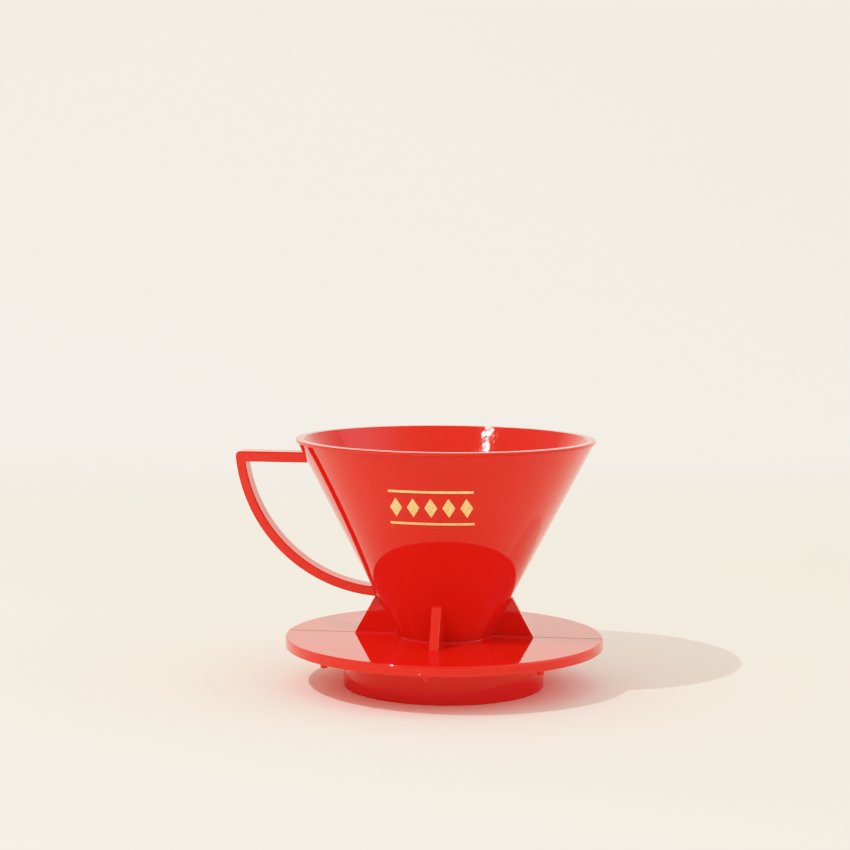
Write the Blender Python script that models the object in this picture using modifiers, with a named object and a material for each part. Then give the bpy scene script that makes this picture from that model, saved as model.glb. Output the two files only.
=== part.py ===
"""Pour-over coffee dripper: a conical filter cup with a loop handle, on a round
flange that rests on a server or a mug, with a centring ring below the flange.

Metres, +Z up. The dripper stands on its centring ring at z = 0. The handle
points to -X. The cone's axis stands AXIS_X to the +X side of the origin, which
is the centre of the whole outline seen from above.

The real dripper is one glossy moulding. Each working member is its own solid
here, and keeps FIT_GAP to the members that it is moulded to.
"""

import math

import bpy
import bmesh
from mathutils import Matrix, Vector

MM = 0.001

# ---------------------------------------------------------------- dimensions
FIT_GAP = 0.3 * MM            # between members that meet
TURN_STEPS = 96               # facets round a turned member

# flange
FLANGE_R = 58.0 * MM
FLANGE_TOP_Z = 18.3 * MM
FLANGE_T = 3.8 * MM
FLANGE_TOP_ROUND = 0.7 * MM
FLANGE_LOW_ROUND = 0.5 * MM
ROOT_STEP = 0.2 * MM          # the underside is thicker at the ring's root

# cone: the outer wall is a straight taper that would meet the flange's top
# at CONE_FOOT_R
CONE_FOOT_R = 17.1 * MM
CONE_TAPER = 0.5183           # growth of radius with height
CONE_WALL = 3.2 * MM          # horizontal wall thickness at the rim
CONE_INNER_TAPER = 0.5566     # the inner wall opens wider than the outer one
OUTLET_R = 8.0 * MM           # straight outlet that the inner wall runs into
RIM_R = 54.4 * MM
RIM_Z = 90.4 * MM
LIP_H = 1.4 * MM              # height of the upright lip band
RIM_ROUND = 0.4 * MM
SPOUT_Z = 8.0 * MM            # open lower end of the cone

# centring ring
COLLAR_R = 36.6 * MM
COLLAR_WALL = 2.7 * MM
COLLAR_DRAFT = 0.15 * MM
COLLAR_ROUND = 0.5 * MM

# four webs between the cone and the flange
GUSSET_FOOT_R = 32.9 * MM
GUSSET_TOP_R = 25.1 * MM
GUSSET_TOP_Z = 32.6 * MM
GUSSET_T = 3.4 * MM

# handle: flat top bar, then a strap on an arc about (HANDLE_CU, HANDLE_CZ),
# where u is the distance from the cone's axis towards -X
HANDLE_CU = 21.1 * MM
HANDLE_CZ = 88.3 * MM
HANDLE_OUT_R = 56.0 * MM
HANDLE_IN_R = 52.55 * MM
HANDLE_TOP_Z = 84.65 * MM
HANDLE_BAR_T = 3.85 * MM
HANDLE_WIDTH = 8.3 * MM
HANDLE_CORNER = 1.8 * MM
HANDLE_EDGE = 0.4 * MM

# stand-off nubs under the flange
NUB_COUNT = 8
NUB_CIRCLE_R = 53.7 * MM
NUB_R_TOP = 1.35 * MM
NUB_R_LOW = 1.1 * MM
NUB_LOW_Z = 12.3 * MM

# drip ribs on the inner wall
RIB_COUNT = 12
RIB_LOW_Z = 14.0 * MM
RIB_HIGH_Z = 62.0 * MM
RIB_H = 1.3 * MM
RIB_W = 1.6 * MM

# gold mark: five diamonds between two fine lines
MARK_Z = 70.3 * MM
MARK_LINE_W = 30.0 * MM
MARK_LINE_T = 0.9 * MM
MARK_LINE_RISE = 6.6 * MM     # line centre from the mark's centre, up the wall
DIAMOND_COUNT = 5
DIAMOND_PITCH = 6.2 * MM
DIAMOND_HALF_W = 2.2 * MM
DIAMOND_HALF_H = 3.9 * MM
FOIL_T = 0.3 * MM

# centre of the handle's rounded upper corner, tangent to the bar and the strap
CORNER_CZ = HANDLE_TOP_Z - HANDLE_CORNER
CORNER_CU = HANDLE_CU + math.sqrt((HANDLE_OUT_R - HANDLE_CORNER) ** 2
                                  - (HANDLE_CZ - CORNER_CZ) ** 2)
HANDLE_REACH = CORNER_CU + HANDLE_CORNER
AXIS_X = (HANDLE_REACH - FLANGE_R) / 2.0

TAPER_ANGLE = math.atan(CONE_TAPER)
# a gap measured square to the sloping wall, as a horizontal distance
SLOPE_GAP = FIT_GAP / math.cos(TAPER_ANGLE)
INNER_ANGLE = math.atan(CONE_INNER_TAPER)

RED = (0.72, 0.016, 0.008)
GOLD = (0.80, 0.56, 0.16)


def outer_r(z):
    """Radius of the cone's outer wall at height z."""
    return CONE_FOOT_R + (z - FLANGE_TOP_Z) * CONE_TAPER


def inner_r(z):
    """Radius of the cone's inner wall at height z, above the outlet."""
    return outer_r(RIM_Z) - CONE_WALL - (RIM_Z - z) * CONE_INNER_TAPER


# ---------------------------------------------------------------- scene
for old in list(bpy.data.objects):
    bpy.data.objects.remove(old, do_unlink=True)

scene = bpy.context.scene
parts = bpy.data.collections.new("pour_over_dripper")
cutters = bpy.data.collections.new("cutters")
scene.collection.children.link(parts)
scene.collection.children.link(cutters)


def material(name, colour, roughness, metallic=0.0, coat=0.0):
    mat = bpy.data.materials.new(name)
    mat.use_nodes = True
    bsdf = mat.node_tree.nodes["Principled BSDF"]
    bsdf.inputs["Base Color"].default_value = (*colour, 1.0)
    bsdf.inputs["Roughness"].default_value = roughness
    bsdf.inputs["Metallic"].default_value = metallic
    bsdf.inputs["Coat Weight"].default_value = coat
    mat.diffuse_color = (*colour, 1.0)
    return mat


def add(name, mesh, colour=RED, roughness=0.08, metallic=0.0, smooth=True):
    """Put a mesh in the part's collection, on the cone's axis."""
    ob = bpy.data.objects.new(name, mesh)
    ob.location = (AXIS_X, 0.0, 0.0)
    ob.data.materials.append(material(name + "_finish", colour, roughness, metallic))
    parts.objects.link(ob)
    if smooth:
        mesh.shade_smooth()
        mesh.set_sharp_from_angle(angle=math.radians(35))
    return ob


def turned(name, profile, closed=True, steps=TURN_STEPS):
    """A turned member: profile points (r, z) run down the outer side and back
    up the inner side, and a Screw modifier turns them about the axis."""
    mesh = bpy.data.meshes.new(name)
    n = len(profile)
    edges = [(i, i + 1) for i in range(n - 1)]
    if closed:
        edges.append((n - 1, 0))
    mesh.from_pydata([(r, 0.0, z) for r, z in profile], edges, [])
    mesh.update()
    ob = add(name, mesh)
    turn = ob.modifiers.new("turn", 'SCREW')
    turn.axis = 'Z'
    turn.angle = 2.0 * math.pi
    turn.steps = steps
    turn.render_steps = steps
    turn.use_merge_vertices = True
    turn.merge_threshold = 0.00001
    turn.use_smooth_shade = True
    return ob


def arc(cx, cz, radius, a0, a1, steps):
    """Points on an arc, angles in degrees."""
    out = []
    for i in range(steps + 1):
        a = math.radians(a0 + (a1 - a0) * i / steps)
        out.append((cx + radius * math.cos(a), cz + radius * math.sin(a)))
    return out


def outline_solid(name, outline, thickness, edge=0.0, edge_steps=2):
    """A flat plate from a closed outline (u, v): a filled 2D curve with an
    extrude of half the thickness, made a mesh with its caps welded."""
    curve = bpy.data.curves.new(name + "_outline", 'CURVE')
    curve.dimensions = '2D'
    curve.fill_mode = 'BOTH'
    spline = curve.splines.new('POLY')
    spline.points.add(len(outline) - 1)
    for point, (u, v) in zip(spline.points, outline):
        point.co = (u, v, 0.0, 1.0)
    spline.use_cyclic_u = True
    curve.extrude = thickness / 2.0 - edge
    curve.bevel_depth = edge
    curve.bevel_resolution = edge_steps
    curve.offset = -edge
    holder = bpy.data.objects.new(name + "_outline", curve)
    scene.collection.objects.link(holder)
    bpy.context.view_layer.update()
    depsgraph = bpy.context.evaluated_depsgraph_get()
    mesh = bpy.data.meshes.new_from_object(holder.evaluated_get(depsgraph))
    mesh.name = name
    bpy.data.objects.remove(holder, do_unlink=True)
    bm = bmesh.new()
    bm.from_mesh(mesh)
    bmesh.ops.remove_doubles(bm, verts=bm.verts, dist=0.00001)
    bmesh.ops.dissolve_degenerate(bm, edges=bm.edges, dist=0.000005)
    bmesh.ops.recalc_face_normals(bm, faces=bm.faces)
    bm.to_mesh(mesh)
    bm.free()
    mesh.materials.clear()
    return mesh


def stand_up(mesh, heading):
    """Turn a plate drawn in (u, v) so that u runs outwards from the axis along
    heading (radians about +Z) and v runs up."""
    mesh.transform(Matrix.Rotation(heading, 4, 'Z') @ Matrix.Rotation(math.pi / 2, 4, 'X'))


# ---------------------------------------------------------------- cone
lip_low = RIM_Z - LIP_H
step_z = lip_low - 0.5 * MM
outlet_top = RIM_Z - (inner_r(RIM_Z) - OUTLET_R) / CONE_INNER_TAPER
cone_profile = [
    (RIM_R - RIM_ROUND, RIM_Z),
    (RIM_R - 0.3 * RIM_ROUND, RIM_Z - 0.3 * RIM_ROUND),
    (RIM_R, RIM_Z - RIM_ROUND),
    (RIM_R, lip_low),
    (outer_r(step_z), step_z),
    (outer_r(62 * MM), 62 * MM),
    (outer_r(34 * MM), 34 * MM),
    (outer_r(SPOUT_Z + 0.4 * MM), SPOUT_Z + 0.4 * MM),
    (outer_r(SPOUT_Z) - 0.4 * MM, SPOUT_Z),
    (OUTLET_R + 0.4 * MM, SPOUT_Z),
    (OUTLET_R, SPOUT_Z + 0.4 * MM),
    (OUTLET_R, outlet_top),
    (inner_r(RIM_Z - RIM_ROUND), RIM_Z - RIM_ROUND),
    (inner_r(RIM_Z) + 0.3 * RIM_ROUND, RIM_Z - 0.2 * RIM_ROUND),
    (inner_r(RIM_Z) + RIM_ROUND, RIM_Z),
]
turned("cone_body", cone_profile)

# ---------------------------------------------------------------- flange
flange_low = FLANGE_TOP_Z - FLANGE_T
root_low = flange_low - ROOT_STEP
flange_profile = [
    (FLANGE_R - FLANGE_TOP_ROUND, FLANGE_TOP_Z),
    (FLANGE_R - 0.3 * FLANGE_TOP_ROUND, FLANGE_TOP_Z - 0.3 * FLANGE_TOP_ROUND),
    (FLANGE_R, FLANGE_TOP_Z - FLANGE_TOP_ROUND),
    (FLANGE_R, flange_low + FLANGE_LOW_ROUND),
    (FLANGE_R - FLANGE_LOW_ROUND, flange_low),
    (COLLAR_R + 1.6 * MM, flange_low),
    (COLLAR_R + 1.0 * MM, root_low),
    (outer_r(root_low) + SLOPE_GAP, root_low),
    (outer_r(FLANGE_TOP_Z) + SLOPE_GAP, FLANGE_TOP_Z),
]
turned("flange_plate", flange_profile)

# ---------------------------------------------------------------- collar ring
collar_top = root_low - FIT_GAP
collar_profile = [
    (COLLAR_R + COLLAR_DRAFT, collar_top),
    (COLLAR_R, COLLAR_ROUND),
    (COLLAR_R - COLLAR_ROUND, 0.0),
    (COLLAR_R - COLLAR_WALL + COLLAR_ROUND, 0.0),
    (COLLAR_R - COLLAR_WALL, COLLAR_ROUND),
    (COLLAR_R - COLLAR_WALL - COLLAR_DRAFT, collar_top),
]
turned("collar_ring", collar_profile)

# ---------------------------------------------------------------- gussets
# the web's inner edge follows the cone; its outer edge leans in to meet it
curve_gap = 0.12 * MM         # the round wall falls away across the web
web_low = FLANGE_TOP_Z + FIT_GAP
web_lean = (GUSSET_FOOT_R - GUSSET_TOP_R) / (GUSSET_TOP_Z - FLANGE_TOP_Z)
# the left web stops just under the handle's strap
under_handle = HANDLE_CZ - HANDLE_OUT_R - FIT_GAP
for name, heading, top in (("gusset_right", 0.0, GUSSET_TOP_Z),
                           ("gusset_back", 90.0, GUSSET_TOP_Z),
                           ("gusset_left", 180.0, under_handle),
                           ("gusset_front", 270.0, GUSSET_TOP_Z)):
    web_outline = [
        (outer_r(web_low) + SLOPE_GAP + curve_gap, web_low),
        (GUSSET_FOOT_R - web_lean * FIT_GAP, web_low),
        (GUSSET_TOP_R + web_lean * (GUSSET_TOP_Z - top) + 0.4 * MM, top),
        (outer_r(top) + SLOPE_GAP + curve_gap, top),
    ]
    web = outline_solid(name, web_outline, GUSSET_T)
    stand_up(web, math.radians(heading))
    add(name, web)

# ---------------------------------------------------------------- handle
# the outline is drawn past the wall, then the cone's shape is cut out of it
bar_low = HANDLE_TOP_Z - HANDLE_BAR_T


# angles, in degrees, where the corner meets the strap and where the strap's
# inner arc meets the underside of the bar
round_end = math.degrees(math.atan2(CORNER_CZ - HANDLE_CZ, CORNER_CU - HANDLE_CU))
inner_a = -math.degrees(math.asin((HANDLE_CZ - bar_low) / HANDLE_IN_R))

handle_outline = [(outer_r(HANDLE_TOP_Z) - 5 * MM, HANDLE_TOP_Z)]
handle_outline += arc(CORNER_CU, CORNER_CZ, HANDLE_CORNER, 90.0, round_end, 6)
handle_outline += arc(HANDLE_CU, HANDLE_CZ, HANDLE_OUT_R, round_end, -90.0, 36)[1:]
handle_outline += arc(HANDLE_CU, HANDLE_CZ, HANDLE_IN_R, -90.0, inner_a, 34)
handle_outline += [(outer_r(bar_low) - 5 * MM, bar_low)]
# drawn anticlockwise
handle_outline.reverse()

grip = outline_solid("handle", handle_outline, HANDLE_WIDTH, HANDLE_EDGE, 2)
stand_up(grip, math.pi)
handle = add("handle", grip)

# the cone's outside, grown by the gap, as a cutter
low_z, high_z = 20 * MM, RIM_Z + 5 * MM
cutter_mesh = bpy.data.meshes.new("cone_clearance")
bm = bmesh.new()
bmesh.ops.create_cone(
    bm, cap_ends=True, cap_tris=False, segments=TURN_STEPS,
    radius1=outer_r(low_z) + SLOPE_GAP, radius2=outer_r(high_z) + SLOPE_GAP,
    depth=high_z - low_z,
    matrix=Matrix.Translation((0.0, 0.0, (low_z + high_z) / 2.0)))
bm.to_mesh(cutter_mesh)
bm.free()
cone_cutter = bpy.data.objects.new("cone_clearance", cutter_mesh)
cone_cutter.location = (AXIS_X, 0.0, 0.0)
cone_cutter.hide_render = True
cone_cutter.display_type = 'WIRE'
cutters.objects.link(cone_cutter)

trim = handle.modifiers.new("fit_to_cone", 'BOOLEAN')
trim.operation = 'DIFFERENCE'
trim.solver = 'EXACT'
trim.object = cone_cutter

# ---------------------------------------------------------------- nubs
for i in range(NUB_COUNT):
    angle = 2.0 * math.pi * i / NUB_COUNT
    name = "spacer_nub_%d" % (i + 1)
    mesh = bpy.data.meshes.new(name)
    height = flange_low - FIT_GAP - NUB_LOW_Z
    bm = bmesh.new()
    bmesh.ops.create_cone(
        bm, cap_ends=True, cap_tris=False, segments=16,
        radius1=NUB_R_LOW, radius2=NUB_R_TOP, depth=height,
        matrix=Matrix.Translation((NUB_CIRCLE_R * math.cos(angle),
                                   NUB_CIRCLE_R * math.sin(angle),
                                   NUB_LOW_Z + height / 2.0)))
    bm.to_mesh(mesh)
    bm.free()
    add(name, mesh)

# ---------------------------------------------------------------- drip ribs
# each rib lies along the inner wall and tapers out at both ends
rib_gap = FIT_GAP / math.cos(INNER_ANGLE) + 0.06 * MM
rib_depth = RIB_H / math.cos(INNER_ANGLE)
fade_z = RIB_HIGH_Z - 6.0 * MM
start_z = RIB_LOW_Z + 3.0 * MM
rib_outline = [
    (inner_r(RIB_LOW_Z) - rib_gap, RIB_LOW_Z),
    (inner_r(RIB_HIGH_Z) - rib_gap, RIB_HIGH_Z),
    (inner_r(RIB_HIGH_Z) - rib_gap - 0.3 * MM, RIB_HIGH_Z - 0.2 * MM),
    (inner_r(fade_z) - rib_gap - rib_depth, fade_z),
    (inner_r(start_z) - rib_gap - rib_depth, start_z),
    (inner_r(RIB_LOW_Z) - rib_gap - 0.4 * MM, RIB_LOW_Z),
]
for i in range(RIB_COUNT):
    name = "drip_rib_%02d" % (i + 1)
    rib = outline_solid(name, rib_outline, RIB_W)
    stand_up(rib, 2.0 * math.pi * (i + 0.5) / RIB_COUNT)
    add(name, rib)


# ---------------------------------------------------------------- gold mark
def on_cone(s, t, lift):
    """A point on the cone's front: s along the wall to the right, t up the
    slope, both from the mark's centre, lift outwards from the wall."""
    z = MARK_Z + t * math.cos(TAPER_ANGLE) - lift * math.sin(TAPER_ANGLE)
    r = outer_r(MARK_Z) + t * math.sin(TAPER_ANGLE) + lift * math.cos(TAPER_ANGLE)
    angle = -math.pi / 2.0 + s / r
    return Vector((r * math.cos(angle), r * math.sin(angle), z))


def foil(name, nx, ny, place):
    """A thin foil patch: a grid laid on the cone, thickened outwards."""
    mesh = bpy.data.meshes.new(name)
    bm = bmesh.new()
    bmesh.ops.create_grid(bm, x_segments=nx, y_segments=ny, size=1.0)
    for vert in bm.verts:
        s, t = place(vert.co.x, vert.co.y)
        vert.co = on_cone(s, t, FIT_GAP)
    bmesh.ops.recalc_face_normals(bm, faces=bm.faces)
    outward = Vector((0.0, -1.0, 0.0))
    if sum((f.normal.dot(outward) for f in bm.faces)) < 0.0:
        bmesh.ops.reverse_faces(bm, faces=bm.faces)
    bm.to_mesh(mesh)
    bm.free()
    ob = add(name, mesh, GOLD, 0.25, 1.0)
    skin = ob.modifiers.new("thickness", 'SOLIDIFY')
    skin.thickness = FOIL_T
    skin.offset = 1.0
    return ob


for name, side in (("foil_line_upper", 1.0), ("foil_line_lower", -1.0)):
    foil(name, 16, 1,
         lambda x, y, side=side: (x * MARK_LINE_W / 2.0,
                                  side * MARK_LINE_RISE + y * MARK_LINE_T / 2.0))

for i in range(DIAMOND_COUNT):
    shift = (i - (DIAMOND_COUNT - 1) / 2.0) * DIAMOND_PITCH
    foil("foil_diamond_%d" % (i + 1), 3, 3,
         lambda x, y, shift=shift: (shift + (x - y) / 2.0 * DIAMOND_HALF_W,
                                    (x + y) / 2.0 * DIAMOND_HALF_H))
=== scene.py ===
"""Looks of the pour-over dripper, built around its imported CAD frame.

Every red piece is rebuilt as a fine, smooth mesh in the place of its CAD node,
with the small radii and fillets of one glossy moulding, and rides on "root".
"""

import math

import bpy
import bmesh
from mathutils import Matrix, Vector


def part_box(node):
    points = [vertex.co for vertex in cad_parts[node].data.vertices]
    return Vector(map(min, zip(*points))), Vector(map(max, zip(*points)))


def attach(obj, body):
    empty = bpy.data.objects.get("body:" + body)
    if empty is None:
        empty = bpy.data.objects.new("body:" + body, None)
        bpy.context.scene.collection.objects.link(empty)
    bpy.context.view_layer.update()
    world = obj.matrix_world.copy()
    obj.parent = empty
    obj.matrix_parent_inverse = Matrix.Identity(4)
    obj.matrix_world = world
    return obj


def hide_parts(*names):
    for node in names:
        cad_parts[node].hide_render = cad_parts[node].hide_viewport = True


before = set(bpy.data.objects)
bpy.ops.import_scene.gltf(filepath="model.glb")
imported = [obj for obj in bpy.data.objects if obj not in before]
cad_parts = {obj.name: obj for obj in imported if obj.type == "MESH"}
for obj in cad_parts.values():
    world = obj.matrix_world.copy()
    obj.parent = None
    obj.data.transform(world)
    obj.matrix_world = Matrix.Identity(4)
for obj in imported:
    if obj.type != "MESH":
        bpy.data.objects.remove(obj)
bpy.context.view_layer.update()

MM = 0.001

# ------------------------------------------------------------ the frame's sizes
ring_lo, ring_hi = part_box("collar_ring")
cone_lo, cone_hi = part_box("cone_body")
flange_lo, flange_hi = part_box("flange_plate")
handle_lo, handle_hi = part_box("handle")
web_lo, web_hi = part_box("gusset_right")
front_lo, front_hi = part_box("gusset_front")
nub_lo, nub_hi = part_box("spacer_nub_1")

AX = (ring_lo.x + ring_hi.x) / 2.0          # the cone's axis stands at x = AX, y = 0
RIM_Z = cone_hi.z
RIM_R = (cone_hi.x - cone_lo.x) / 2.0
SPOUT_Z = cone_lo.z
TAPER = 0.5183                              # growth of radius with height
TAU = math.atan(TAPER)
FL_TOP = flange_hi.z
FL_LOW = FL_TOP - 3.8 * MM
FL_R = (flange_hi.x - flange_lo.x) / 2.0
COLLAR_R = (ring_hi.x - ring_lo.x) / 2.0 - 0.15 * MM
CONE_FOOT_R = 17.1 * MM
WALL = 3.2 * MM                             # at the rim
INNER_TAPER = 0.5566                        # the inner wall opens a little wider
OUTLET_R = 8.0 * MM
WEB_T = front_hi.x - front_lo.x
WEB_TOP = web_hi.z
WEB_FOOT_R = 32.9 * MM
WEB_TOP_R = 25.1 * MM
HANDLE_TOP = handle_hi.z
HANDLE_LOW = HANDLE_TOP - 3.85 * MM
HANDLE_W = handle_hi.y - handle_lo.y
H_CU, H_CZ = 21.1 * MM, 88.3 * MM
H_OUT, H_IN = 56.0 * MM, 52.55 * MM
H_CORNER = 1.8 * MM
NUB_R = 53.7 * MM
NUB_LOW = nub_lo.z


def outer_r(z):
    return CONE_FOOT_R + (z - FL_TOP) * TAPER


def inner_r(z):
    return outer_r(RIM_Z) - WALL - (RIM_Z - z) * INNER_TAPER


# ------------------------------------------------------------ mesh helpers
def rounded(points, closed=True, step=11.0, support=0.1 * MM):
    """A polygon (x, y, radius) with its corners rounded. A point is added just
    before and after each arc, so that flat stretches shade flat."""
    n = len(points)
    out = []
    for i, (x, y, r) in enumerate(points):
        p = Vector((x, y))
        if r <= 0.0 or (not closed and i in (0, n - 1)):
            out.append(p)
            continue
        a = (Vector(points[i - 1][:2]) - p).normalized()
        b = (Vector(points[(i + 1) % n][:2]) - p).normalized()
        angle = math.acos(max(-1.0, min(1.0, a.dot(b))))
        reach = r / math.tan(angle / 2.0)
        centre = p + (a + b).normalized() * (r / math.sin(angle / 2.0))
        start = p + a * reach - centre
        end = p + b * reach - centre
        sweep = math.pi - angle
        sign = 1.0 if start.x * end.y - start.y * end.x > 0.0 else -1.0
        k = max(2, math.ceil(math.degrees(sweep) / step))
        out.append(p + a * (reach + support))
        for j in range(k + 1):
            t = sign * sweep * j / k
            c, s = math.cos(t), math.sin(t)
            out.append(centre + Vector((start.x * c - start.y * s, start.x * s + start.y * c)))
        out.append(p + b * (reach + support))
    return out


def new_object(name, bm, mat, sharp=32.0, place=None):
    bmesh.ops.recalc_face_normals(bm, faces=bm.faces)
    mesh = bpy.data.meshes.new(name)
    bm.to_mesh(mesh)
    bm.free()
    mesh.transform(place or Matrix.Translation((AX, 0.0, 0.0)))
    mesh.shade_smooth()
    mesh.set_sharp_from_angle(angle=math.radians(sharp))
    ob = bpy.data.objects.new(name, mesh)
    ob.data.materials.append(mat)
    bpy.context.scene.collection.objects.link(ob)
    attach(ob, "root")
    return ob


def add_lathe(bm, profile, steps=320, centre=(0.0, 0.0)):
    """Turns a closed profile of (r, z) points about a vertical axis."""
    rings = []
    for s in range(steps):
        a = 2.0 * math.pi * s / steps
        c, d = math.cos(a), math.sin(a)
        rings.append([bm.verts.new((centre[0] + p[0] * c, centre[1] + p[0] * d, p[1]))
                      for p in profile])
    n = len(profile)
    for s in range(steps):
        a, b = rings[s], rings[(s + 1) % steps]
        for i in range(n):
            j = (i + 1) % n
            bm.faces.new((a[i], b[i], b[j], a[j]))


def add_plate(bm, outline, thickness, edge, place, step=4):
    """A flat plate with rounded edges. outline is anticlockwise in (u, v) and
    place(u, v, w) puts a point of it in space, w running across the plate."""
    n = len(outline)
    inward = []
    for i in range(n):
        p = outline[i]
        a = (p - outline[i - 1]).normalized()
        b = (outline[(i + 1) % n] - p).normalized()
        na, nb = Vector((-a.y, a.x)), Vector((-b.y, b.x))
        m = na + nb
        inward.append(m / max(1.0 + na.dot(nb), 0.35))
    half = thickness / 2.0
    s = 0.1 * MM
    levels = [(edge + s, -half)]
    for k in range(step + 1):
        t = math.radians(90.0 * (1.0 - k / step))
        levels.append((edge * (1.0 - math.cos(t)), -(half - edge + edge * math.sin(t))))
    levels.append((0.0, -(half - edge) + s))
    levels += [(o, -w) for o, w in reversed(levels)]
    rings = []
    for off, w in levels:
        rings.append([bm.verts.new(place(*(outline[i] + inward[i] * off), w)) for i in range(n)])
    for a, b in zip(rings, rings[1:]):
        for i in range(n):
            j = (i + 1) % n
            bm.faces.new((a[i], a[j], b[j], b[i]))
    bm.faces.new(list(reversed(rings[0])))
    bm.faces.new(rings[-1])


def add_fillet(bm, path, radius, closed=False, steps=5):
    """A concave fillet along the line where two faces meet. path is a list of
    (point, normal of one face, normal of the other)."""
    rows = []
    for p, n1, n2 in path:
        n1, n2 = n1.normalized(), n2.normalized()
        c = p + (n1 + n2) * (radius / (1.0 + n1.dot(n2)))
        row = []
        for k in range(steps + 1):
            d = n1.slerp(n2, k / steps)
            row.append(bm.verts.new(c - d * radius))
        rows.append(row)
    pairs = list(zip(rows, rows[1:]))
    if closed:
        pairs.append((rows[-1], rows[0]))
    faces = []
    for a, b in pairs:
        for k in range(steps):
            faces.append(bm.faces.new((a[k], a[k + 1], b[k + 1], b[k])))
    # face outwards: towards the open side
    bmesh.ops.recalc_face_normals(bm, faces=faces)
    p, n1, n2 = path[len(path) // 2]
    f = faces[(len(path) // 2) * steps - steps // 2 - 1]
    f.normal_update()
    if f.normal.dot(n1 + n2) < 0.0:
        bmesh.ops.reverse_faces(bm, faces=faces)
    return faces


# ------------------------------------------------------------ materials
def nodes_of(name):
    mat = bpy.data.materials.new(name)
    mat.use_nodes = True
    tree = mat.node_tree
    return mat, tree, tree.nodes["Principled BSDF"]


def link(tree, a, b):
    tree.links.new(a, b)


def node(tree, kind, **values):
    made = tree.nodes.new(kind)
    for key, value in values.items():
        setattr(made, key, value)
    return made


def math_node(tree, op, a, b=None, clamp=False):
    m = node(tree, "ShaderNodeMath", operation=op, use_clamp=clamp)
    for socket, v in ((0, a), (1, b)):
        if v is None:
            continue
        if isinstance(v, (int, float)):
            m.inputs[socket].default_value = v
        else:
            link(tree, v, m.inputs[socket])
    return m.outputs[0]


RED = (0.700, 0.0115, 0.0040, 1.0)
RED_DEEP = (0.660, 0.0095, 0.0036, 1.0)
DUST = (0.86, 0.42, 0.34, 1.0)
UNDERSIDE_GLOW = 0.18                                 # painted glow: red light the plate's underside emits, standing in for light soaking through it


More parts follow.
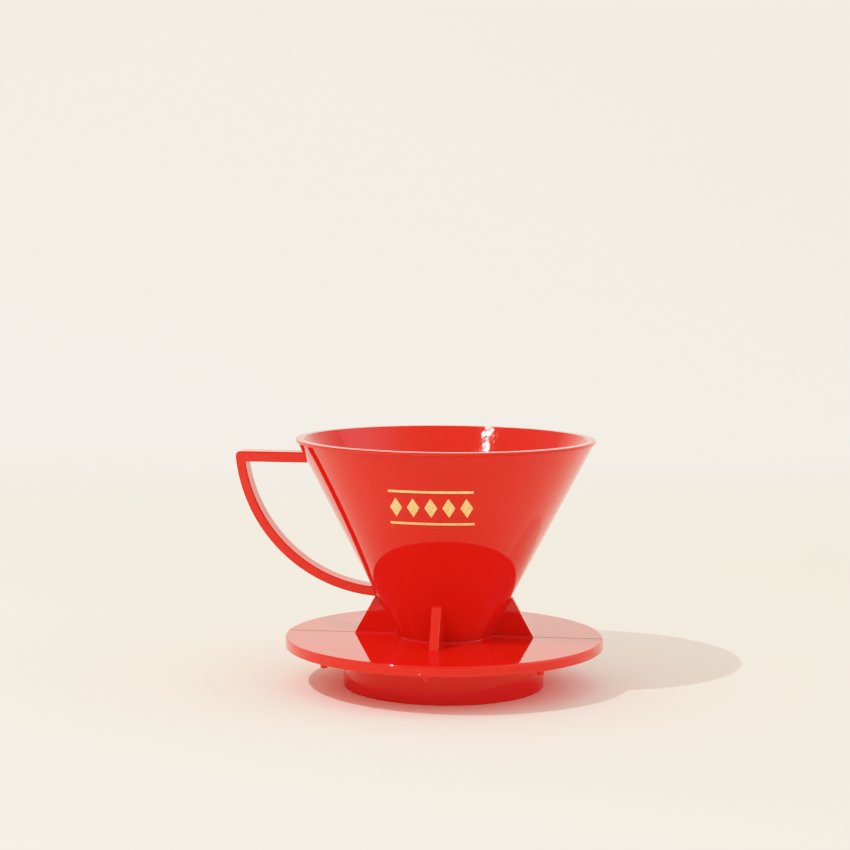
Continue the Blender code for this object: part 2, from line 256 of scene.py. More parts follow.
def red_plastic(name, parting_shade_and_glow=False, dust=0.965, wave=1.0, inside=False):
    """Polished moulded plastic: a mirror-like skin that is not quite flat, with
    faint flow shading, fine dust and hairline polish marks."""
    mat, tree, bsdf = nodes_of(name)
    where = node(tree, "ShaderNodeTexCoord").outputs["Object"]

    flow = node(tree, "ShaderNodeTexNoise")
    flow.inputs["Scale"].default_value = 28.0
    flow.inputs["Detail"].default_value = 3.0
    flow.inputs["Roughness"].default_value = 0.55
    link(tree, where, flow.inputs["Vector"])
    tint = node(tree, "ShaderNodeMix", data_type="RGBA")
    link(tree, flow.outputs["Fac"], tint.inputs["Factor"])
    tint.inputs["A"].default_value = RED_DEEP
    tint.inputs["B"].default_value = RED

    # dust: a few small specks, one in some hundred cells
    cells = node(tree, "ShaderNodeTexVoronoi", feature="F1")
    cells.inputs["Scale"].default_value = 260.0
    cells.inputs["Randomness"].default_value = 1.0
    link(tree, where, cells.inputs["Vector"])
    pick = node(tree, "ShaderNodeSeparateColor")
    link(tree, cells.outputs["Color"], pick.inputs["Color"])
    chosen = math_node(tree, "GREATER_THAN", pick.outputs["Red"], dust)
    size = math_node(tree, "MULTIPLY", pick.outputs["Green"], 0.055)
    size = math_node(tree, "ADD", size, 0.02)
    near = math_node(tree, "LESS_THAN", cells.outputs["Distance"], size)
    speck = math_node(tree, "MULTIPLY", chosen, near)
    dusty = math_node(tree, "MULTIPLY", speck, 0.55)
    base = node(tree, "ShaderNodeMix", data_type="RGBA")
    link(tree, dusty, base.inputs["Factor"])
    link(tree, tint.outputs["Result"], base.inputs["A"])
    base.inputs["B"].default_value = DUST
    colour = base.outputs["Result"]
    if parting_shade_and_glow:
        # painted shade: a hairline band along the parting line on the plate's top is darkened to near black-red,
        # standing in for the shade inside a groove
        place = node(tree, "ShaderNodeSeparateXYZ")
        link(tree, where, place.inputs["Vector"])
        off = math_node(tree, "DIVIDE", math_node(tree, "ABSOLUTE", place.outputs["Y"]), 0.6 * MM)
        painted_groove_shade = math_node(tree, "SUBTRACT", 1.8, math_node(tree, "MULTIPLY", off, 1.8), clamp=True)
        level = math_node(tree, "GREATER_THAN", place.outputs["Z"], FL_TOP - 0.8 * MM)
        painted_groove_shade = math_node(tree, "MULTIPLY", painted_groove_shade, level)
        shaded = node(tree, "ShaderNodeMix", data_type="RGBA")
        link(tree, painted_groove_shade, shaded.inputs["Factor"])
        link(tree, colour, shaded.inputs["A"])
        shaded.inputs["B"].default_value = (0.07, 0.0010, 0.0008, 1.0)
        colour = shaded.outputs["Result"]
    link(tree, colour, bsdf.inputs["Base Color"])

    # roughness: polish that varies a little, dull specks
    haze = node(tree, "ShaderNodeTexNoise")
    haze.inputs["Scale"].default_value = 70.0
    haze.inputs["Detail"].default_value = 5.0
    haze.inputs["Roughness"].default_value = 0.6
    link(tree, where, haze.inputs["Vector"])
    rough = node(tree, "ShaderNodeMapRange")
    link(tree, haze.outputs["Fac"], rough.inputs["Value"])
    rough.inputs["From Min"].default_value = 0.3
    rough.inputs["From Max"].default_value = 0.75
    rough.inputs["To Min"].default_value = 0.015
    rough.inputs["To Max"].default_value = 0.045
    dull = math_node(tree, "MULTIPLY", speck, 0.4)
    roughness = math_node(tree, "ADD", rough.outputs["Result"], dull)
    if parting_shade_and_glow:
        roughness = math_node(tree, "ADD", roughness, math_node(tree, "MULTIPLY", painted_groove_shade, 0.85))
    link(tree, roughness, bsdf.inputs["Roughness"])

    # the skin's slow waves, and a fine orange peel
    slow = node(tree, "ShaderNodeTexNoise")
    slow.inputs["Scale"].default_value = 55.0
    slow.inputs["Detail"].default_value = 1.0
    link(tree, where, slow.inputs["Vector"])
    peel = node(tree, "ShaderNodeTexNoise")
    peel.inputs["Scale"].default_value = 420.0
    peel.inputs["Detail"].default_value = 2.0
    link(tree, where, peel.inputs["Vector"])
    height = math_node(tree, "MULTIPLY", slow.outputs["Fac"], 26.0 * wave)
    height = math_node(tree, "ADD", height, math_node(tree, "MULTIPLY", peel.outputs["Fac"], 0.7))
    height = math_node(tree, "ADD", height, math_node(tree, "MULTIPLY", speck, 8.0))
    if parting_shade_and_glow:
        # the mould's parting line across the plate's top: the shade inside its hairline groove is painted into
        # the colour above, and here only a slight swell on its near side is bumped
        swell = math_node(tree, "ADD", place.outputs["Y"], 1.1 * MM)
        swell = math_node(tree, "DIVIDE", math_node(tree, "ABSOLUTE", swell), 0.9 * MM)
        swell = math_node(tree, "SUBTRACT", 1.0, swell, clamp=True)
        height = math_node(tree, "ADD", height, math_node(tree, "MULTIPLY", swell, 25.0))
    if inside:
        # the wall inside the cup faces up and inwards; it is less even than the
        # outside, so a small lamp breaks up on it
        facing = node(tree, "ShaderNodeSeparateXYZ")
        link(tree, node(tree, "ShaderNodeNewGeometry").outputs["Normal"], facing.inputs["Vector"])
        inner = math_node(tree, "MULTIPLY", math_node(tree, "GREATER_THAN", facing.outputs["Z"], 0.3),
                          math_node(tree, "LESS_THAN", facing.outputs["Z"], 0.75))
        uneven = node(tree, "ShaderNodeTexNoise")
        uneven.inputs["Scale"].default_value = 520.0
        uneven.inputs["Detail"].default_value = 1.0
        link(tree, where, uneven.inputs["Vector"])
        uneven = math_node(tree, "MULTIPLY", uneven.outputs["Fac"], 95.0)
        height = math_node(tree, "ADD", height, math_node(tree, "MULTIPLY", uneven, inner))
    bump = node(tree, "ShaderNodeBump")
    bump.inputs["Strength"].default_value = 1.0
    bump.inputs["Distance"].default_value = 0.000001
    link(tree, height, bump.inputs["Height"])
    link(tree, bump.outputs["Normal"], bsdf.inputs["Normal"])

    if parting_shade_and_glow:
        # painted glow: the plate's underside emits red light, standing in for light that soaks through the plate
        # and leaves by its underside
        underside_glow_mask = math_node(tree, "LESS_THAN", place.outputs["Z"], FL_LOW + 0.1 * MM)
        link(tree, math_node(tree, "MULTIPLY", underside_glow_mask, UNDERSIDE_GLOW), bsdf.inputs["Emission Strength"])
        bsdf.inputs["Emission Color"].default_value = (1.0, 0.012, 0.005, 1.0)

    bsdf.inputs["IOR"].default_value = 1.53
    bsdf.inputs["Specular IOR Level"].default_value = 0.42
    bsdf.inputs["Metallic"].default_value = 0.0
    # a thin haze over the polish widens the lamp's highlights
    bsdf.inputs["Coat Weight"].default_value = 0.12
    bsdf.inputs["Coat Roughness"].default_value = 0.11
    bsdf.inputs["Coat IOR"].default_value = 1.5
    link(tree, bump.outputs["Normal"], bsdf.inputs["Coat Normal"])
    mat.diffuse_color = RED
    return mat


def gold_foil(name):
    """Hot-stamped foil: satin gold with a fine grain and thin spots."""
    mat, tree, bsdf = nodes_of(name)
    where = node(tree, "ShaderNodeTexCoord").outputs["Object"]
    grain = node(tree, "ShaderNodeTexNoise")
    grain.inputs["Scale"].default_value = 900.0
    grain.inputs["Detail"].default_value = 4.0
    link(tree, where, grain.inputs["Vector"])
    ramp = node(tree, "ShaderNodeValToRGB")
    ramp.color_ramp.elements[0].position = 0.30
    ramp.color_ramp.elements[0].color = (0.86, 0.52, 0.16, 1.0)
    ramp.color_ramp.elements[1].position = 0.62
    ramp.color_ramp.elements[1].color = (1.0, 0.80, 0.36, 1.0)
    link(tree, grain.outputs["Fac"], ramp.inputs["Fac"])
    link(tree, ramp.outputs["Color"], bsdf.inputs["Base Color"])
    rough = node(tree, "ShaderNodeMapRange")
    link(tree, grain.outputs["Fac"], rough.inputs["Value"])
    rough.inputs["To Min"].default_value = 0.30
    rough.inputs["To Max"].default_value = 0.48
    link(tree, rough.outputs["Result"], bsdf.inputs["Roughness"])
    bump = node(tree, "ShaderNodeBump")
    bump.inputs["Distance"].default_value = 0.000004
    link(tree, grain.outputs["Fac"], bump.inputs["Height"])
    link(tree, bump.outputs["Normal"], bsdf.inputs["Normal"])
    bsdf.inputs["Metallic"].default_value = 0.85
    bsdf.inputs["IOR"].default_value = 1.5
    mat.diffuse_color = (0.95, 0.7, 0.3, 1.0)
    return mat


red_cone = red_plastic("red_plastic_cone", dust=0.985, inside=True)
red_flange = red_plastic("red_plastic_flange", parting_shade_and_glow=True, dust=0.955)
red_small = red_plastic("red_plastic_small", dust=0.975, wave=0.6)
gold = gold_foil("gold_foil_satin")

# ------------------------------------------------------------ cone
lip_low = RIM_Z - 1.15 * MM
step_z = lip_low - 0.10 * MM
outlet_top = RIM_Z - (inner_r(RIM_Z) - OUTLET_R) / INNER_TAPER
profile = rounded([
    (RIM_R, RIM_Z, 0.35 * MM),
    (RIM_R, lip_low, 0.12 * MM),
    (outer_r(step_z), step_z, 0.14 * MM),
    (outer_r(SPOUT_Z), SPOUT_Z, 0.45 * MM),
    (OUTLET_R, SPOUT_Z, 0.45 * MM),
    (OUTLET_R, outlet_top, 2.5 * MM),
    (inner_r(RIM_Z), RIM_Z, 0.35 * MM),
], support=0.06 * MM)
bm = bmesh.new()
add_lathe(bm, profile)
cone = new_object("cone_wall", bm, red_cone)
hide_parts("cone_body")

# ------------------------------------------------------------ flange
foot_fillet = 0.3 * MM
f_reach = foot_fillet / math.tan((math.pi / 2.0 - TAU) / 2.0)
f_top = FL_TOP + f_reach * math.cos(TAU)
# three faint ridges run round the plate's edge
edge_ridges = []
for drop in (1.25, 1.95, 3.2):
    for off, out in ((-0.30, 0.0), (-0.06, 0.038), (0.06, 0.038), (0.30, 0.0)):
        edge_ridges.append((FL_R + (out - 0.02) * MM, FL_TOP - (drop + off) * MM, 0.0))
profile = rounded([
    (FL_R - 0.02 * MM, FL_TOP, 0.75 * MM),
    *edge_ridges,
    (FL_R - 0.05 * MM, FL_LOW, 0.5 * MM),
    (COLLAR_R + 0.15 * MM, FL_LOW, 0.7 * MM),
    (COLLAR_R + 0.13 * MM, FL_LOW - 1.1 * MM, 0.0),
    (COLLAR_R - 1.2 * MM, FL_LOW - 1.1 * MM, 0.0),
    (COLLAR_R - 1.2 * MM, FL_LOW + 1.0 * MM, 0.0),
    (outer_r(FL_LOW) + 3.0 * MM, FL_LOW + 1.0 * MM, 0.0),
    (outer_r(FL_LOW) + 3.0 * MM, FL_LOW, 0.0),
    (outer_r(FL_LOW) - 1.2 * MM, FL_LOW, 0.0),
    (outer_r(f_top) - 1.2 * MM, f_top, 0.0),
    (outer_r(f_top) + 0.06 * MM * TAPER, f_top + 0.06 * MM, 0.0),
    (outer_r(FL_TOP), FL_TOP, foot_fillet),
])
bm = bmesh.new()
add_lathe(bm, profile)
flange = new_object("flange_disc", bm, red_flange)
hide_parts("flange_plate")

# ------------------------------------------------------------ centring ring
profile = rounded([
    (COLLAR_R + 0.15 * MM, FL_LOW + 0.6 * MM, 0.0),
    (COLLAR_R, 0.0, 0.5 * MM),
    (COLLAR_R - 2.7 * MM, 0.0, 0.5 * MM),
    (COLLAR_R - 2.85 * MM, FL_LOW + 0.6 * MM, 0.0),
])
bm = bmesh.new()
add_lathe(bm, profile)
collar = new_object("centring_ring", bm, red_small)
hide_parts("collar_ring")


# ------------------------------------------------------------ webs
def cone_normal(phi):
    return Vector((math.cos(phi) * math.cos(TAU), math.sin(phi) * math.cos(TAU), -math.sin(TAU)))


lean = (WEB_FOOT_R - WEB_TOP_R) / (WEB_TOP - FL_TOP)
web_edge = 0.32 * MM
half_w = WEB_T / 2.0
for name, heading, top in (("right", 0.0, WEB_TOP),
                           ("back", 90.0, WEB_TOP),
                           ("left", 180.0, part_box("gusset_left")[1].z),
                           ("front", 270.0, WEB_TOP)):
    low = FL_TOP - 0.8 * MM
    top_u = WEB_TOP_R + lean * (WEB_TOP - top)
    outline = rounded([
        (outer_r(low) - 1.2 * MM, low, 0.0),
        (WEB_FOOT_R + lean * 0.8 * MM, low, 0.0),
        (top_u, top, 0.3 * MM),
        (outer_r(top) - 1.4 * MM, top, 0.0),
    ])
    bm = bmesh.new()
    add_plate(bm, outline, WEB_T, web_edge, lambda u, v, w: (u, w, v))

    # fillet at the foot, round three sides
    slant = Vector((1.0, 0.0, lean)).normalized()
    up = Vector((0.0, 0.0, 1.0))
    path = []
    u0 = outer_r(FL_TOP) - 0.4 * MM
    e = web_edge
    for k in range(13):
        t = k / 12.0
        path.append((Vector((u0 + (WEB_FOOT_R - e - u0) * t, -half_w, FL_TOP)),
                     Vector((0.0, -1.0, 0.0)), up))
    for k in range(1, 6):
        a = math.radians(90.0 * k / 6.0)
        n = Vector((math.sin(a), -math.cos(a), lean * math.sin(a)))
        path.append((Vector((WEB_FOOT_R - e + e * math.sin(a), -half_w + e - e * math.cos(a), FL_TOP)), n, up))
    for k in range(5):
        path.append((Vector((WEB_FOOT_R, (-half_w + e) + (2.0 * half_w - 2.0 * e) * k / 4.0, FL_TOP)), slant, up))
    path += [(Vector((p.x, -p.y, p.z)), Vector((n.x, -n.y, n.z)), up) for p, n, _ in reversed(path[:18])]
    add_fillet(bm, path, 0.45 * MM)

    # fillets up the cone, on both sides and over the top
    path = []
    for k in range(15):
        z = FL_TOP + (top - e - FL_TOP) * k / 14.0
        u = math.sqrt(outer_r(z) ** 2 - half_w ** 2)
        path.append((Vector((u, -half_w, z)), Vector((0.0, -1.0, 0.0)),
                     cone_normal(math.atan2(-half_w, u))))
    for k in range(1, 6):
        a = math.radians(90.0 * k / 6.0)
        z = top - e + e * math.sin(a)
        w = -half_w + e - e * math.cos(a)
        u = math.sqrt(outer_r(z) ** 2 - w ** 2)
        path.append((Vector((u, w, z)), Vector((0.0, -math.cos(a), math.sin(a))),
                     cone_normal(math.atan2(w, u))))
    for k in range(5):
        w = (-half_w + e) + (2.0 * half_w - 2.0 * e) * k / 4.0
        u = math.sqrt(outer_r(top) ** 2 - w ** 2)
        path.append((Vector((u, w, top)), up, cone_normal(math.atan2(w, u))))
    path += [(Vector((p.x, -p.y, p.z)), Vector((n.x, -n.y, n.z)), Vector((m.x, -m.y, m.z)))
             for p, n, m in reversed(path[:20])]
    add_fillet(bm, path, 0.35 * MM)

    turn = Matrix.Translation((AX, 0.0, 0.0)) @ Matrix.Rotation(math.radians(heading), 4, 'Z')
    web = new_object("web_" + name, bm, red_small, place=turn)
    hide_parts("gusset_" + name)

# ------------------------------------------------------------ handle
corner_z = HANDLE_TOP - H_CORNER
corner_u = H_CU + math.sqrt((H_OUT - H_CORNER) ** 2 - (H_CZ - corner_z) ** 2)
join_a = math.atan2(corner_z - H_CZ, corner_u - H_CU)       # corner meets strap


def arc_points(cu, cz, r, a0, a1, n):
    return [Vector((cu + r * math.cos(a0 + (a1 - a0) * i / n), cz + r * math.sin(a0 + (a1 - a0) * i / n)))
            for i in range(n + 1)]


def strap_end(r, depth):
    """Angle at which the strap's arc has gone depth into the cone's wall."""
    lo, hi = math.radians(-90.0), math.radians(-30.0)
    for _ in range(50):
        mid = (lo + hi) / 2.0
        u, z = H_CU + r * math.cos(mid), H_CZ + r * math.sin(mid)
        if u < outer_r(z) - depth:
            lo = mid
        else:
            hi = mid
    return lo


inner_a = -math.asin((H_CZ - HANDLE_LOW) / H_IN)
outline = [Vector((outer_r(HANDLE_TOP) - 1.5 * MM, HANDLE_TOP)),
           Vector((corner_u - 0.1 * MM, HANDLE_TOP))]
outline += arc_points(corner_u, corner_z, H_CORNER, math.radians(90.0), join_a, 14)
outline += arc_points(H_CU, H_CZ, H_OUT, join_a, strap_end(H_OUT, 1.5 * MM), 110)[1:]
outline += arc_points(H_CU, H_CZ, H_IN, strap_end(H_IN, 1.5 * MM), inner_a, 100)
outline.append(Vector((H_CU + H_IN * math.cos(inner_a) - 0.1 * MM, HANDLE_LOW)))
outline.append(Vector((outer_r(HANDLE_LOW) - 1.5 * MM, HANDLE_LOW)))
outline.reverse()

bm = bmesh.new()
grip_edge = 0.36 * MM
add_plate(bm, outline, HANDLE_W, grip_edge, lambda u, v, w: (-u, -w, v), step=5)


def section_fillet(bm, v_low, v_high, n_low, n_high, width, edge, radius):
    """Fillet round a member that runs into the cone at -X: its section spans
    v_low to v_high, n_low and n_high are the normals of its two broad faces."""
    path = []
    half = width / 2.0

    def put(w, v, n):
        u = math.sqrt(outer_r(v) ** 2 - w ** 2)
        m = cone_normal(math.atan2(w, u))
        path.append((Vector((-u, w, v)), Vector((-n.x, n.y, n.z)), Vector((-m.x, m.y, m.z))))

    side = Vector((0.0, -1.0, 0.0))
    for k in range(9):
        put(-half + edge + (2 * half - 2 * edge) * k / 8.0, v_high, n_high)
    for k in range(1, 5):
        t = math.radians(90.0 * k / 5.0)
        put(half - edge + edge * math.sin(t), v_high - edge + edge * math.cos(t),
            n_high * math.cos(t) - side * math.sin(t))
    for k in range(9):
        put(half, v_high - edge + (v_low - v_high + 2 * edge) * k / 8.0, -side)
    for k in range(1, 5):
        t = math.radians(90.0 * k / 5.0)
        put(half - edge + edge * math.cos(t), v_low + edge - edge * math.sin(t),
            n_low * math.sin(t) - side * math.cos(t))
    for k in range(9):
        put(half - edge - (2 * half - 2 * edge) * k / 8.0, v_low, n_low)
    for k in range(1, 5):
        t = math.radians(90.0 * k / 5.0)
        put(-half + edge - edge * math.sin(t), v_low + edge - edge * math.cos(t),
            n_low * math.cos(t) + side * math.sin(t))
    for k in range(9):
        put(-half, v_low + edge + (v_high - v_low - 2 * edge) * k / 8.0, side)
    for k in range(1, 5):
        t = math.radians(90.0 * k / 5.0)
        put(-half + edge - edge * math.cos(t), v_high - edge + edge * math.sin(t),
            n_high * math.sin(t) + side * math.cos(t))
    add_fillet(bm, path, radius, closed=True)


section_fillet(bm, HANDLE_LOW, HANDLE_TOP, Vector((0, 0, -1)), Vector((0, 0, 1)),
               HANDLE_W, grip_edge, 0.45 * MM)
a_out, a_in = strap_end(H_OUT, 0.0), strap_end(H_IN, 0.0)
section_fillet(bm, H_CZ + H_OUT * math.sin(a_out), H_CZ + H_IN * math.sin(a_in),
               Vector((math.cos(a_out), 0.0, math.sin(a_out))),
               Vector((-math.cos(a_in), 0.0, -math.sin(a_in))),
               HANDLE_W, grip_edge, 0.45 * MM)
handle = new_object("handle_loop", bm, red_small)
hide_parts("handle")

# ------------------------------------------------------------ nubs
for i in range(8):
    a = 2.0 * math.pi * i / 8
    profile = rounded([
        (1.55 * MM, FL_LOW + 0.4 * MM, 0.0),
        (1.50 * MM, FL_LOW - 0.25 * MM, 0.3 * MM),
        (1.20 * MM, NUB_LOW, 0.75 * MM),
        (0.0, NUB_LOW, 0.0),
        (0.0, FL_LOW + 0.4 * MM, 0.0),
    ], step=15.0, support=0.05 * MM)
    bm = bmesh.new()
    add_lathe(bm, profile, steps=40, centre=(NUB_R * math.cos(a), NUB_R * math.sin(a)))
    bmesh.ops.remove_doubles(bm, verts=bm.verts, dist=0.000001)
    nub = new_object("nub_%d" % (i + 1), bm, red_small)
    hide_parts("spacer_nub_%d" % (i + 1))

# ------------------------------------------------------------ drip ribs
rib_low, rib_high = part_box("drip_rib_01")[0].z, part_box("drip_rib_01")[1].z
depth = 1.4 * MM / math.cos(math.atan(INNER_TAPER))
fade, start = rib_high - 6.0 * MM, rib_low + 3.0 * MM
rib_outline = rounded([
    (inner_r(rib_low) + 0.5 * MM, rib_low - 0.4 * MM, 0.0),
    (inner_r(rib_high) + 0.5 * MM, rib_high + 0.4 * MM, 0.0),
    (inner_r(rib_high) - 0.1 * MM, rib_high, 0.0),
    (inner_r(fade) - depth, fade, 6.0 * MM),
    (inner_r(start) - depth, start, 3.0 * MM),
    (inner_r(rib_low) - 0.1 * MM, rib_low - 0.1 * MM, 0.0),
])
for i in range(12):
    bm = bmesh.new()
    add_plate(bm, rib_outline, 1.6 * MM, 0.5 * MM, lambda u, v, w: (u, w, v))
    turn = Matrix.Translation((AX, 0.0, 0.0)) @ Matrix.Rotation(2.0 * math.pi * (i + 0.5) / 12, 4, 'Z')
    rib = new_object("rib_%02d" % (i + 1), bm, red_small, place=turn)
    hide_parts("drip_rib_%02d" % (i + 1))

# ------------------------------------------------------------ gold mark
MARK_Z = 70.3 * MM


def on_cone(s, t, lift):
    z = MARK_Z + t * math.cos(TAU) - lift * math.sin(TAU)
    r = outer_r(MARK_Z) + t * math.sin(TAU) + lift * math.cos(TAU)
    a = -math.pi / 2.0 + s / r
    return (r * math.cos(a), r * math.sin(a), z)


def foil_piece(name, cad, nx, ny, place):
    """A printed patch, 0.03 mm of foil on the wall, its rim turned down."""
    lift = 0.03 * MM
    bm = bmesh.new()
    grid = [[bm.verts.new(on_cone(*place(2.0 * i / nx - 1.0, 2.0 * j / ny - 1.0), lift))
             for i in range(nx + 1)] for j in range(ny + 1)]
    for j in range(ny):
        for i in range(nx):
            bm.faces.new((grid[j][i], grid[j][i + 1], grid[j + 1][i + 1], grid[j + 1][i]))
    rim = ([(i, 0) for i in range(nx)] + [(nx, j) for j in range(ny)]
           + [(i, ny) for i in range(nx, 0, -1)] + [(0, j) for j in range(ny, 0, -1)])
    low = [bm.verts.new(on_cone(*place(2.0 * i / nx - 1.0, 2.0 * j / ny - 1.0), -0.05 * MM))
           for i, j in rim]
    for k in range(len(rim)):
        i0, j0 = rim[k]
        i1, j1 = rim[(k + 1) % len(rim)]
        bm.faces.new((grid[j0][i0], low[k], low[(k + 1) % len(rim)], grid[j1][i1]))
    ob = new_object(name, bm, gold)
    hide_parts(cad)
    return ob


for label, side in (("upper", 1.0), ("lower", -1.0)):
    foil_piece("gold_line_" + label, "foil_line_" + label, 48, 2,
               lambda x, y, side=side: (x * 15.0 * MM, side * 6.6 * MM + y * 0.45 * MM))
for i in range(5):
    shift = (i - 2.0) * 6.2 * MM
    foil_piece("gold_diamond_%d" % (i + 1), "foil_diamond_%d" % (i + 1), 8, 8,
               lambda x, y, shift=shift: (shift + (x - y) / 2.0 * 2.2 * MM, (x + y) / 2.0 * 3.9 * MM))

# ------------------------------------------------------------ stage
# light of each part of the room (r, g, b), and of the key lamp
LIGHT = {
    "key": (1.877, 1.274, 1.190),
    "T": (1.130, 1.137, 0.897),
    "Fl": (0.067, 0.067, 0.068),
    "Fh": (1.135, 1.086, 0.919),
    "Bl": (0.60, 0.60, 0.60),
    "Bh": (0.163, 0.163, 0.163),
    "Ll": (2.060, 2.000, 2.030),
    "Lh": (1.089, 1.000, 0.898),
    "Rl": (2.634, 2.300, 2.266),
    "Rh": (2.112, 1.954, 1.977),
    "E": (0.230, 0.226, 0.231),
}
# a pale paper sweep: floor, a wide curve, and a backdrop
sweep = []
for y in (-2.6, -1.6, -0.8, -0.4, 0.0, 0.4, 0.8):
    sweep.append((y, 0.0))
for k in range(1, 25):
    t = math.radians(90.0 * k / 24)
    sweep.append((0.8 + 1.0 * math.sin(t), 1.0 - 1.0 * math.cos(t)))
sweep.append((1.8, 2.4))
bm = bmesh.new()
cols = [-3.2, -1.6, -0.8, 0.0, 0.8, 1.6, 3.2]
grid = [[bm.verts.new((x, y, z)) for x in cols] for y, z in sweep]
for a, b in zip(grid, grid[1:]):
    for i in range(len(cols) - 1):
        bm.faces.new((a[i], a[i + 1], b[i + 1], b[i]))
mesh = bpy.data.meshes.new("paper_sweep")
bm.to_mesh(mesh)
bm.free()
mesh.shade_smooth()
floor = bpy.data.objects.new("paper_sweep", mesh)
bpy.context.scene.collection.objects.link(floor)
mat, tree, bsdf = nodes_of("pale_paper")
where = node(tree, "ShaderNodeTexCoord").outputs["Object"]
soft = node(tree, "ShaderNodeTexNoise")
soft.inputs["Scale"].default_value = 3.0
soft.inputs["Detail"].default_value = 1.0
link(tree, where, soft.inputs["Vector"])
tint = node(tree, "ShaderNodeMix", data_type="RGBA")
link(tree, soft.outputs["Fac"], tint.inputs["Factor"])
tint.inputs["A"].default_value = (0.90, 0.835, 0.775, 1.0)
tint.inputs["B"].default_value = (0.905, 0.845, 0.785, 1.0)
link(tree, tint.outputs["Result"], bsdf.inputs["Base Color"])
bsdf.inputs["Roughness"].default_value = 0.9
bsdf.inputs["Specular IOR Level"].default_value = 0.0
# the far half of the sweep glows a little, as if lit by its own soft lamp
far = node(tree, "ShaderNodeSeparateXYZ")
link(tree, where, far.inputs["Vector"])
glow = node(tree, "ShaderNodeMapRange", interpolation_type="SMOOTHSTEP")
link(tree, far.outputs["Y"], glow.inputs["Value"])
glow.inputs["From Min"].default_value = 0.25
glow.inputs["From Max"].default_value = 0.95
link(tree, glow.outputs["Result"], bsdf.inputs["Emission Strength"])
bsdf.inputs["Emission Color"].default_value = (*LIGHT["E"], 1.0)
mesh.materials.append(mat)

# ------------------------------------------------------------ light
world = bpy.data.worlds.new("soft_studio")
bpy.context.scene.world = world
world.use_nodes = True
tree = world.node_tree
tree.nodes.clear()
out = tree.nodes.new("ShaderNodeOutputWorld")
back = tree.nodes.new("ShaderNodeBackground")
tree.links.new(back.outputs["Background"], out.inputs["Surface"])
axes = tree.nodes.new("ShaderNodeSeparateXYZ")
tree.links.new(tree.nodes.new("ShaderNodeTexCoord").outputs["Generated"], axes.inputs["Vector"])
dir_x, dir_y, dir_z = axes.outputs


def smooth(tree, value, start, end):
    m = node(tree, "ShaderNodeMapRange", interpolation_type="SMOOTHSTEP")
    link(tree, value, m.inputs["Value"])
    m.inputs["From Min"].default_value = start
    m.inputs["From Max"].default_value = end
    return m.outputs["Result"]


flat2 = math_node(tree, "ADD", math_node(tree, "MULTIPLY", dir_x, dir_x),
                  math_node(tree, "MULTIPLY", dir_y, dir_y))
flat2 = math_node(tree, "MAXIMUM", flat2, 0.0001)


def toward(axis, sign):
    """1 straight towards that side of the room, 0 at right angles to it."""
    p = math_node(tree, "MAXIMUM", math_node(tree, "MULTIPLY", axis, sign), 0.0)
    return math_node(tree, "DIVIDE", math_node(tree, "MULTIPLY", p, p), flat2)


ceiling = smooth(tree, dir_z, 0.62, 0.85)
walls = math_node(tree, "SUBTRACT", 1.0, ceiling)
high = math_node(tree, "MULTIPLY", walls, smooth(tree, dir_z, 0.18, 0.38))
low = math_node(tree, "SUBTRACT", walls, high)
ROOM = [        # part of the room, its light (r, g, b)
    (ceiling, None, None, LIGHT["T"]),
    (low, dir_y, -1.0, LIGHT["Fl"]),
    (high, dir_y, -1.0, LIGHT["Fh"]),
    (low, dir_y, 1.0, LIGHT["Bl"]),
    (high, dir_y, 1.0, LIGHT["Bh"]),
    (low, dir_x, -1.0, LIGHT["Ll"]),
    (high, dir_x, -1.0, LIGHT["Lh"]),
    (low, dir_x, 1.0, LIGHT["Rl"]),
    (high, dir_x, 1.0, LIGHT["Rh"]),
]
total = None
for level, axis, sign, light in ROOM:
    share = level if axis is None else math_node(tree, "MULTIPLY", level, toward(axis, sign))
    part = node(tree, "ShaderNodeVectorMath", operation="SCALE")
    part.inputs[0].default_value = light
    link(tree, share, part.inputs["Scale"])
    if total is None:
        total = part.outputs["Vector"]
    else:
        add = node(tree, "ShaderNodeVectorMath", operation="ADD")
        link(tree, total, add.inputs[0])
        link(tree, part.outputs["Vector"], add.inputs[1])
        total = add.outputs["Vector"]
link(tree, total, back.inputs["Color"])
back.inputs["Strength"].default_value = 1.0

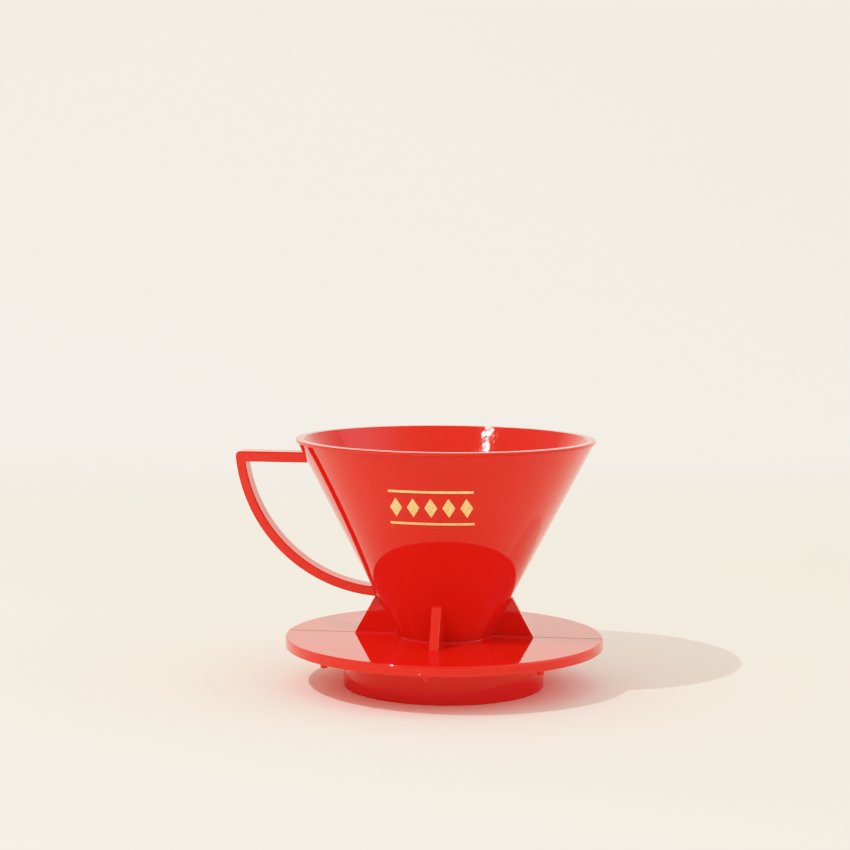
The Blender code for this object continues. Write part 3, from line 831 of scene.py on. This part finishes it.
key_data = bpy.data.lights.new("key", 'POINT')
key_data.energy = 34.0 * LIGHT["key"][0]
key_data.shadow_soft_size = 0.008
key_data.color = (1.0, LIGHT["key"][1] / LIGHT["key"][0], LIGHT["key"][2] / LIGHT["key"][0])
key = bpy.data.objects.new("key", key_data)
key.location = (AX - 0.608, -0.672, 1.172)
bpy.context.scene.collection.objects.link(key)

# ------------------------------------------------------------ camera
YAW, PITCH, ROLL, TURN = (math.radians(v) for v in (-0.575, -5.011, 0.390, 6.405))
turn = Matrix.Rotation(TURN, 3, 'Z')
forward = Vector((math.sin(YAW) * math.cos(PITCH), math.cos(YAW) * math.cos(PITCH), math.sin(PITCH)))
right = forward.cross(Vector((0.0, 0.0, 1.0))).normalized()
up = right.cross(forward)
r2 = right * math.cos(ROLL) + up * math.sin(ROLL)
u2 = -right * math.sin(ROLL) + up * math.cos(ROLL)
spot = turn @ Vector((0.0, -0.749584, 0.160825)) + Vector((AX, 0.0, 0.0))
r2, u2, back_v = turn @ r2, turn @ u2, turn @ -forward
cam_data = bpy.data.cameras.new("camera")
cam_data.sensor_width = 36.0
cam_data.lens = 2075.479 * 36.0 / 850.0
cam_data.clip_start = 0.05
cam_data.clip_end = 20.0
camera = bpy.data.objects.new("camera", cam_data)
camera.matrix_world = Matrix(((r2.x, u2.x, back_v.x, spot.x),
                              (r2.y, u2.y, back_v.y, spot.y),
                              (r2.z, u2.z, back_v.z, spot.z),
                              (0.0, 0.0, 0.0, 1.0)))
bpy.context.scene.collection.objects.link(camera)
bpy.context.scene.camera = camera

# the picture's tone: a soft toe and a long shoulder, as (light, shown)
TONE = [(0.0, 0.0), (0.012, 0.0106), (0.04, 0.0149), (0.12, 0.0902), (0.3, 0.2797), (0.55, 0.4709),
        (0.85, 0.6428), (1.05, 0.7397), (1.25, 0.8368), (1.5, 0.8815), (1.9, 0.921), (2.5, 0.967),
        (3.2, 1.0)]
view = bpy.context.scene.view_settings
view.view_transform = 'Standard'
view.use_curve_mapping = True
curves = view.curve_mapping
curves.white_level = (3.2, 3.2, 3.2)
curve = curves.curves[3]
for x, y in TONE[1:-1]:
    curve.points.new(x / 3.2, y)
for p in curve.points:
    p.handle_type = 'VECTOR'
curves.update()
